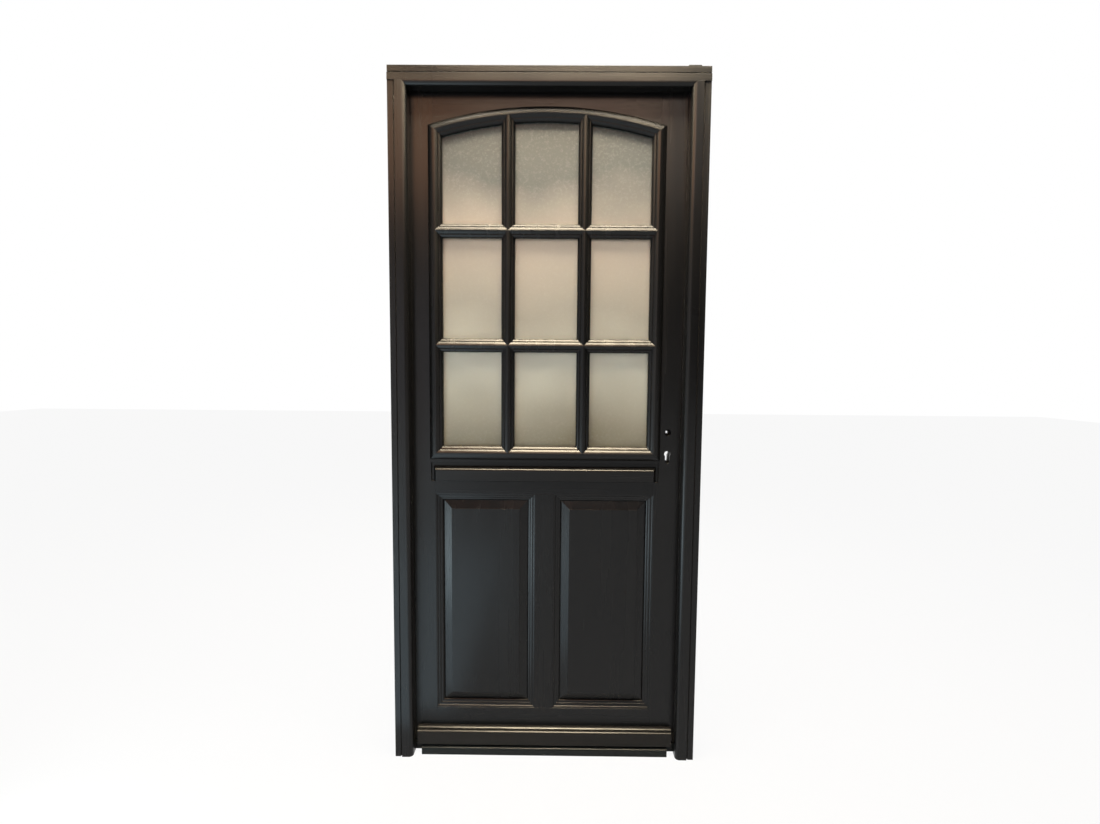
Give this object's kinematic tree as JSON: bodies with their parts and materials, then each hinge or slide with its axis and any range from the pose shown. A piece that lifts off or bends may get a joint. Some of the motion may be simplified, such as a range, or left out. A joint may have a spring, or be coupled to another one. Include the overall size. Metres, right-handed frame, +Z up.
{
  "type": "glazed front door",
  "caption": "Panelled timber front door in its moulded frame: arched divided light with obscure glass, raised panels below, weather bars, low threshold, inward swing.",
  "frame": {"origin": "foot of the hinge jamb's wall face, at the depth of the leaf's outside face", "axes": "+X from the hinge jamb to the lock jamb, +Y into the building, +Z up"},
  "size_m": [0.98, 0.1145, 2.193],
  "materials": {
    "painted_timber": "satin",
    "threshold": "satin",
    "seal": "matte",
    "lock_metal": "brushed",
    "hinge_metal": "satin",
    "packer": "matte",
    "obscure_glass": "fine grained",
    "clear_glass": "polished",
    "spacer": "mill"
  },
  "bodies": {
    "frame": {"hinge_jamb": "painted_timber", "lock_jamb": "painted_timber", "head": "painted_timber", "threshold": "threshold", "frame_seal": "seal", "strike_plate": "lock_metal", "top_packer": "packer", "hinge_1_frame_half": "hinge_metal", "hinge_2_frame_half": "hinge_metal", "hinge_3_frame_half": "hinge_metal", "hinge_4_frame_half": "hinge_metal"},
    "leaf": {"hinge_stile": "painted_timber", "lock_stile": "painted_timber", "top_rail": "painted_timber", "mid_rail": "painted_timber", "bottom_rail": "painted_timber", "muntin": "painted_timber", "panel_left": "painted_timber", "panel_right": "painted_timber", "glazing_moulding_outer_left": "painted_timber", "glazing_moulding_outer_right": "painted_timber", "glazing_moulding_outer_bottom": "painted_timber", "glazing_moulding_outer_top": "painted_timber", "glazing_moulding_inner_left": "painted_timber", "glazing_moulding_inner_right": "painted_timber", "glazing_moulding_inner_bottom": "painted_timber", "glazing_moulding_inner_top": "painted_timber", "glazing_bars_outer": "painted_timber", "glazing_bars_inner": "painted_timber", "glass_outer_pane": "obscure_glass", "glass_spacer": "spacer", "glass_inner_pane": "clear_glass", "upper_weather_bar": "painted_timber", "lower_weather_bar": "painted_timber", "lock_case": "lock_metal", "lock_faceplate": "lock_metal", "hinge_1_leaf_half": "hinge_metal", "hinge_2_leaf_half": "hinge_metal", "hinge_3_leaf_half": "hinge_metal", "hinge_4_leaf_half": "hinge_metal"}
  },
  "joints": [
    {"name": "leaf_swing", "type": "hinge", "parent": "frame", "child": "leaf", "pos_m": [0.044, 0.0575, 0], "axis": [0, 0, 1], "range_deg": [0, 110]}
  ]
}
